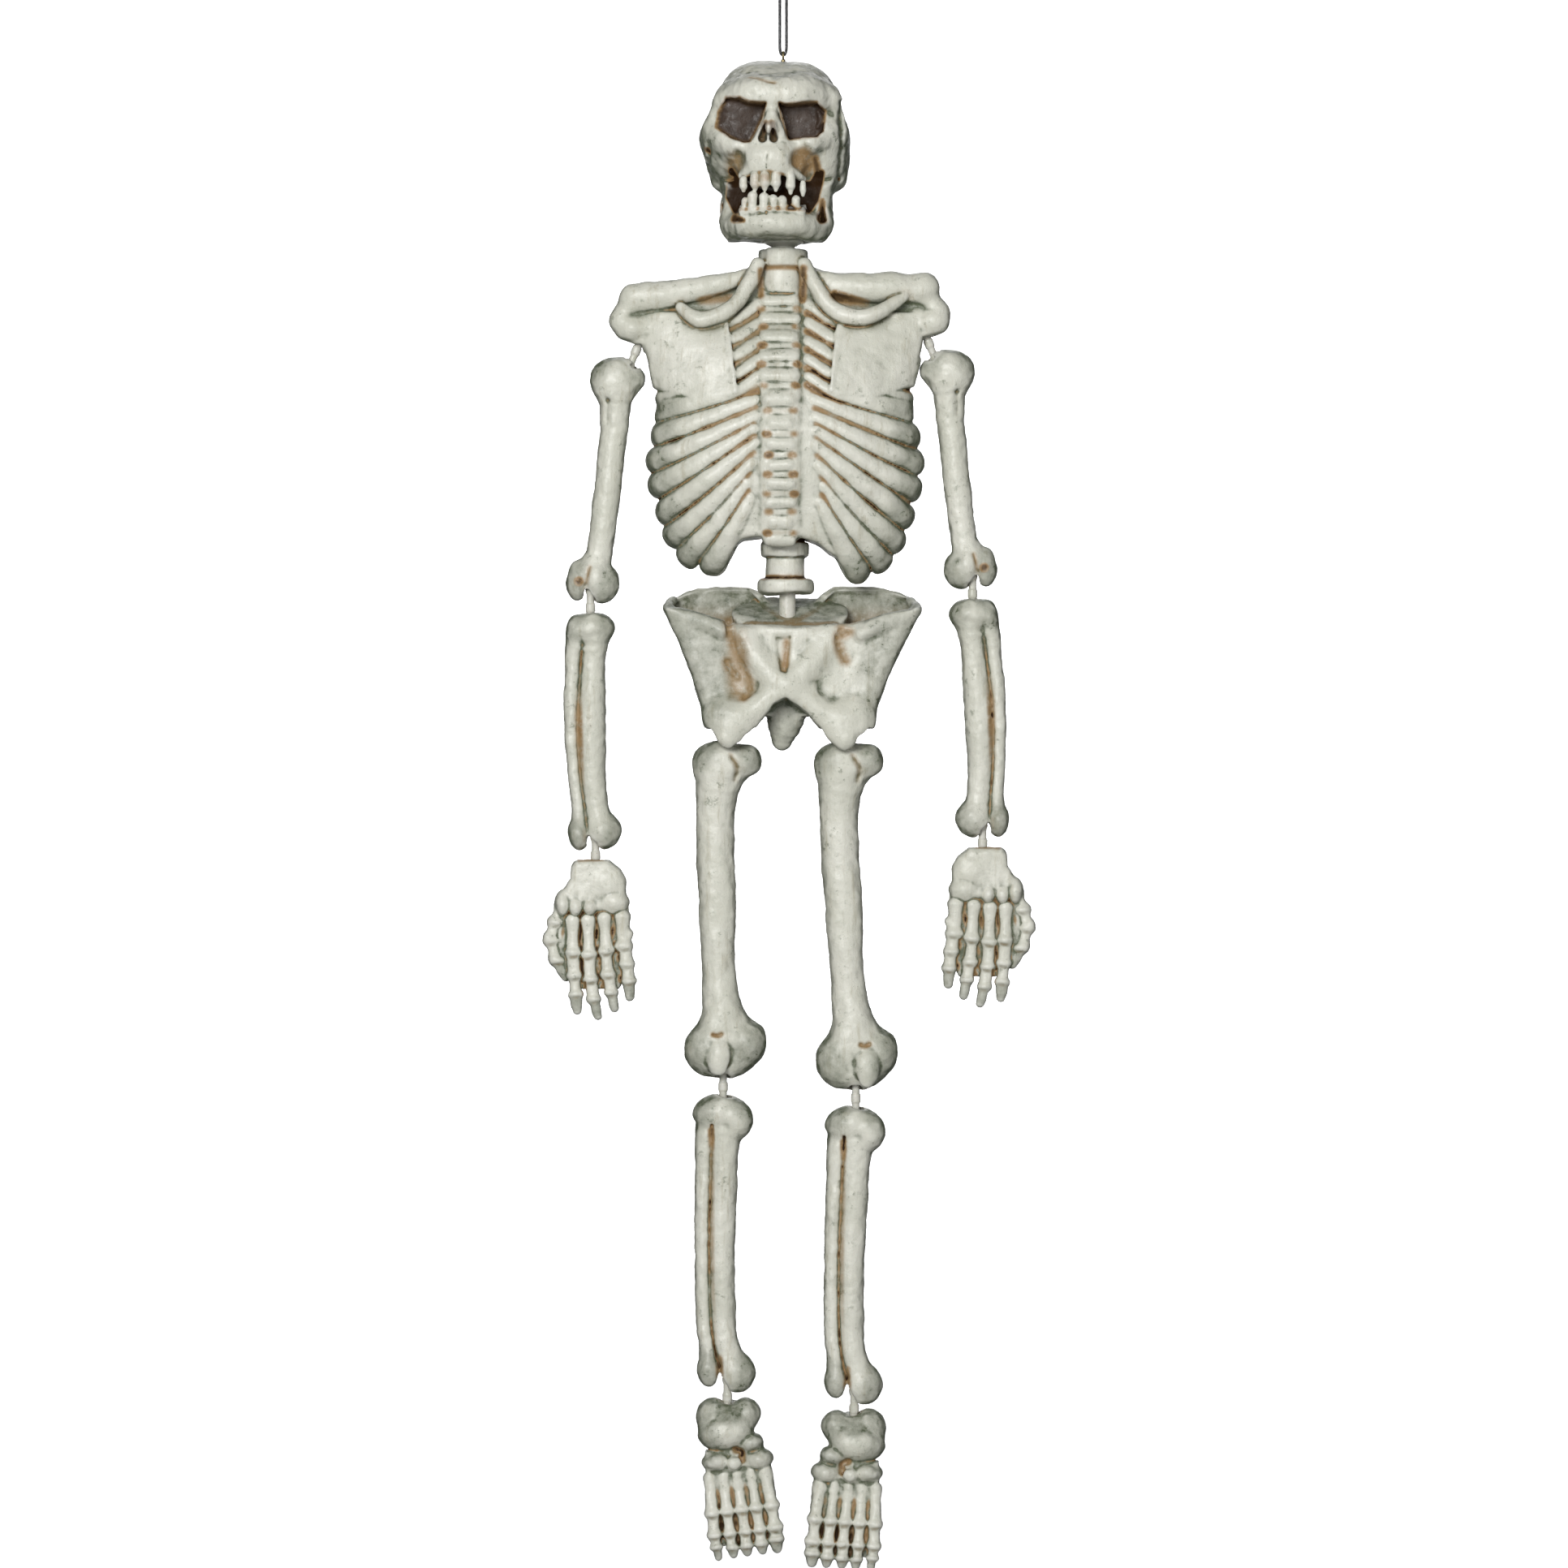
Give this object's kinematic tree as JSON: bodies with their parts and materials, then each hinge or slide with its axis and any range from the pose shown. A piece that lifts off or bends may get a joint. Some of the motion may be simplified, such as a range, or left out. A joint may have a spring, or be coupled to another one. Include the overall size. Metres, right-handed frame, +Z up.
{
  "type": "halloween skeleton figure",
  "caption": "Hanging skeleton decoration with hollow moulded bones that dangle on round-headed pins, hung by a cord loop from an eyelet in its skull.",
  "frame": {"origin": "inside of the top of the hanging cord loop, where a hook carries the figure", "axes": "+Z up, -Y is the way the figure faces, +X is the figure's own left"},
  "size_m": [0.296, 0.1093, 0.964],
  "materials": {
    "bone_plastic": "satin ivory with a grey-green and brown antique wash in its hollows",
    "pin_plastic": "semi-clear ivory, slightly glossy",
    "eyelet_wire": "dull, darkened",
    "cord": "glossy black"
  },
  "bodies": {
    "head": {"skull": "bone_plastic", "crown_eyelet": "eyelet_wire", "hanging_cord": "cord"},
    "neck_plug": {"neck_plug": "bone_plastic"},
    "torso": {"torso": "bone_plastic"},
    "waist_pin": {"waist_pin": "pin_plastic"},
    "pelvis": {"pelvis": "bone_plastic"},
    "left_shoulder_pin": {"left_shoulder_pin": "pin_plastic"},
    "left_humerus": {"left_humerus": "bone_plastic"},
    "left_elbow_pin": {"left_elbow_pin": "pin_plastic"},
    "left_forearm": {"left_forearm": "bone_plastic"},
    "left_wrist_pin": {"left_wrist_pin": "pin_plastic"},
    "left_hand": {"left_hand": "bone_plastic"},
    "left_hip_pin": {"left_hip_pin": "pin_plastic"},
    "left_femur": {"left_femur": "bone_plastic"},
    "left_knee_pin": {"left_knee_pin": "pin_plastic"},
    "left_shin": {"left_shin": "bone_plastic"},
    "left_ankle_pin": {"left_ankle_pin": "pin_plastic"},
    "left_foot": {"left_foot": "bone_plastic"},
    "right_shoulder_pin": {"right_shoulder_pin": "pin_plastic"},
    "right_humerus": {"right_humerus": "bone_plastic"},
    "right_elbow_pin": {"right_elbow_pin": "pin_plastic"},
    "right_forearm": {"right_forearm": "bone_plastic"},
    "right_wrist_pin": {"right_wrist_pin": "pin_plastic"},
    "right_hand": {"right_hand": "bone_plastic"},
    "right_hip_pin": {"right_hip_pin": "pin_plastic"},
    "right_femur": {"right_femur": "bone_plastic"},
    "right_knee_pin": {"right_knee_pin": "pin_plastic"},
    "right_shin": {"right_shin": "bone_plastic"},
    "right_ankle_pin": {"right_ankle_pin": "pin_plastic"},
    "right_foot": {"right_foot": "bone_plastic"}
  },
  "joints": [
    {"name": "neck_turn", "type": "hinge", "parent": "head", "child": "neck_plug", "pos_m": [0, 0, -0.166], "axis": [0, 0, 1], "range_deg": [-40, 40]},
    {"name": "neck_nod", "type": "hinge", "parent": "neck_plug", "child": "torso", "pos_m": [0, 0, -0.1722], "axis": [1, 0, 0], "range_deg": [-8, 8]},
    {"name": "waist_bend", "type": "hinge", "parent": "torso", "child": "waist_pin", "pos_m": [0.0025, 0, -0.3771], "axis": [1, 0, 0], "range_deg": [-12, 12]},
    {"name": "waist_turn", "type": "hinge", "parent": "waist_pin", "child": "pelvis", "pos_m": [0.0025, 0, -0.388], "axis": [0, 0, 1], "range_deg": [-30, 30]},
    {"name": "left_shoulder_lift", "type": "hinge", "parent": "torso", "child": "left_shoulder_pin", "pos_m": [0.086, 0, -0.2243], "axis": [0, -1, 0], "range_deg": [-2, 30]},
    {"name": "left_arm_swing", "type": "hinge", "parent": "left_shoulder_pin", "child": "left_humerus", "pos_m": [0.08881, 0, -0.23125], "axis": [1, 0, 0], "range_deg": [-25, 25]},
    {"name": "left_elbow_bend", "type": "hinge", "parent": "left_humerus", "child": "left_elbow_pin", "pos_m": [0.1135, 0, -0.374], "axis": [1, 0, 0], "range_deg": [-30, 30]},
    {"name": "left_forearm_turn", "type": "hinge", "parent": "left_elbow_pin", "child": "left_forearm", "pos_m": [0.1135, 0, -0.3815], "axis": [0, 0, 1], "range_deg": [-40, 40]},
    {"name": "left_wrist_bend", "type": "hinge", "parent": "left_forearm", "child": "left_wrist_pin", "pos_m": [0.1195, 0, -0.5235], "axis": [1, 0, 0], "range_deg": [-30, 30]},
    {"name": "left_hand_turn", "type": "hinge", "parent": "left_wrist_pin", "child": "left_hand", "pos_m": [0.1195, 0, -0.531], "axis": [0, 0, 1], "range_deg": [-40, 40]},
    {"name": "left_hip_swing", "type": "hinge", "parent": "pelvis", "child": "left_hip_pin", "pos_m": [0.0405, 0, -0.458], "axis": [1, 0, 0], "range_deg": [-20, 20]},
    {"name": "left_thigh_turn", "type": "hinge", "parent": "left_hip_pin", "child": "left_femur", "pos_m": [0.0405, 0, -0.4655], "axis": [0, 0, 1], "range_deg": [-20, 20]},
    {"name": "left_knee_bend", "type": "hinge", "parent": "left_femur", "child": "left_knee_pin", "pos_m": [0.0435, 0, -0.6765], "axis": [1, 0, 0], "range_deg": [-30, 30]},
    {"name": "left_shin_turn", "type": "hinge", "parent": "left_knee_pin", "child": "left_shin", "pos_m": [0.0435, 0, -0.684], "axis": [0, 0, 1], "range_deg": [-20, 20]},
    {"name": "left_ankle_bend", "type": "hinge", "parent": "left_shin", "child": "left_ankle_pin", "pos_m": [0.0425, 0, -0.8625], "axis": [1, 0, 0], "range_deg": [-25, 25]},
    {"name": "left_foot_turn", "type": "hinge", "parent": "left_ankle_pin", "child": "left_foot", "pos_m": [0.0425, 0, -0.87], "axis": [0, 0, 1], "range_deg": [-30, 30]},
    {"name": "right_shoulder_lift", "type": "hinge", "parent": "torso", "child": "right_shoulder_pin", "pos_m": [-0.0868, 0, -0.2287], "axis": [0, 1, 0], "range_deg": [-2, 30]},
    {"name": "right_arm_swing", "type": "hinge", "parent": "right_shoulder_pin", "child": "right_humerus", "pos_m": [-0.08961, 0, -0.23565], "axis": [1, 0, 0], "range_deg": [-25, 25]},
    {"name": "right_elbow_bend", "type": "hinge", "parent": "right_humerus", "child": "right_elbow_pin", "pos_m": [-0.1155, 0, -0.3825], "axis": [1, 0, 0], "range_deg": [-30, 30]},
    {"name": "right_forearm_turn", "type": "hinge", "parent": "right_elbow_pin", "child": "right_forearm", "pos_m": [-0.1155, 0, -0.39], "axis": [0, 0, 1], "range_deg": [-40, 40]},
    {"name": "right_wrist_bend", "type": "hinge", "parent": "right_forearm", "child": "right_wrist_pin", "pos_m": [-0.1125, 0, -0.531], "axis": [1, 0, 0], "range_deg": [-30, 30]},
    {"name": "right_hand_turn", "type": "hinge", "parent": "right_wrist_pin", "child": "right_hand", "pos_m": [-0.1125, 0, -0.5385], "axis": [0, 0, 1], "range_deg": [-40, 40]},
    {"name": "right_hip_swing", "type": "hinge", "parent": "pelvis", "child": "right_hip_pin", "pos_m": [-0.032, 0, -0.458], "axis": [1, 0, 0], "range_deg": [-20, 20]},
    {"name": "right_thigh_turn", "type": "hinge", "parent": "right_hip_pin", "child": "right_femur", "pos_m": [-0.032, 0, -0.4655], "axis": [0, 0, 1], "range_deg": [-20, 20]},
    {"name": "right_knee_bend", "type": "hinge", "parent": "right_femur", "child": "right_knee_pin", "pos_m": [-0.036, 0, -0.6695], "axis": [1, 0, 0], "range_deg": [-30, 30]},
    {"name": "right_shin_turn", "type": "hinge", "parent": "right_knee_pin", "child": "right_shin", "pos_m": [-0.036, 0, -0.677], "axis": [0, 0, 1], "range_deg": [-20, 20]},
    {"name": "right_ankle_bend", "type": "hinge", "parent": "right_shin", "child": "right_ankle_pin", "pos_m": [-0.0335, 0, -0.8555], "axis": [1, 0, 0], "range_deg": [-25, 25]},
    {"name": "right_foot_turn", "type": "hinge", "parent": "right_ankle_pin", "child": "right_foot", "pos_m": [-0.0335, 0, -0.863], "axis": [0, 0, 1], "range_deg": [-30, 30]}
  ]
}
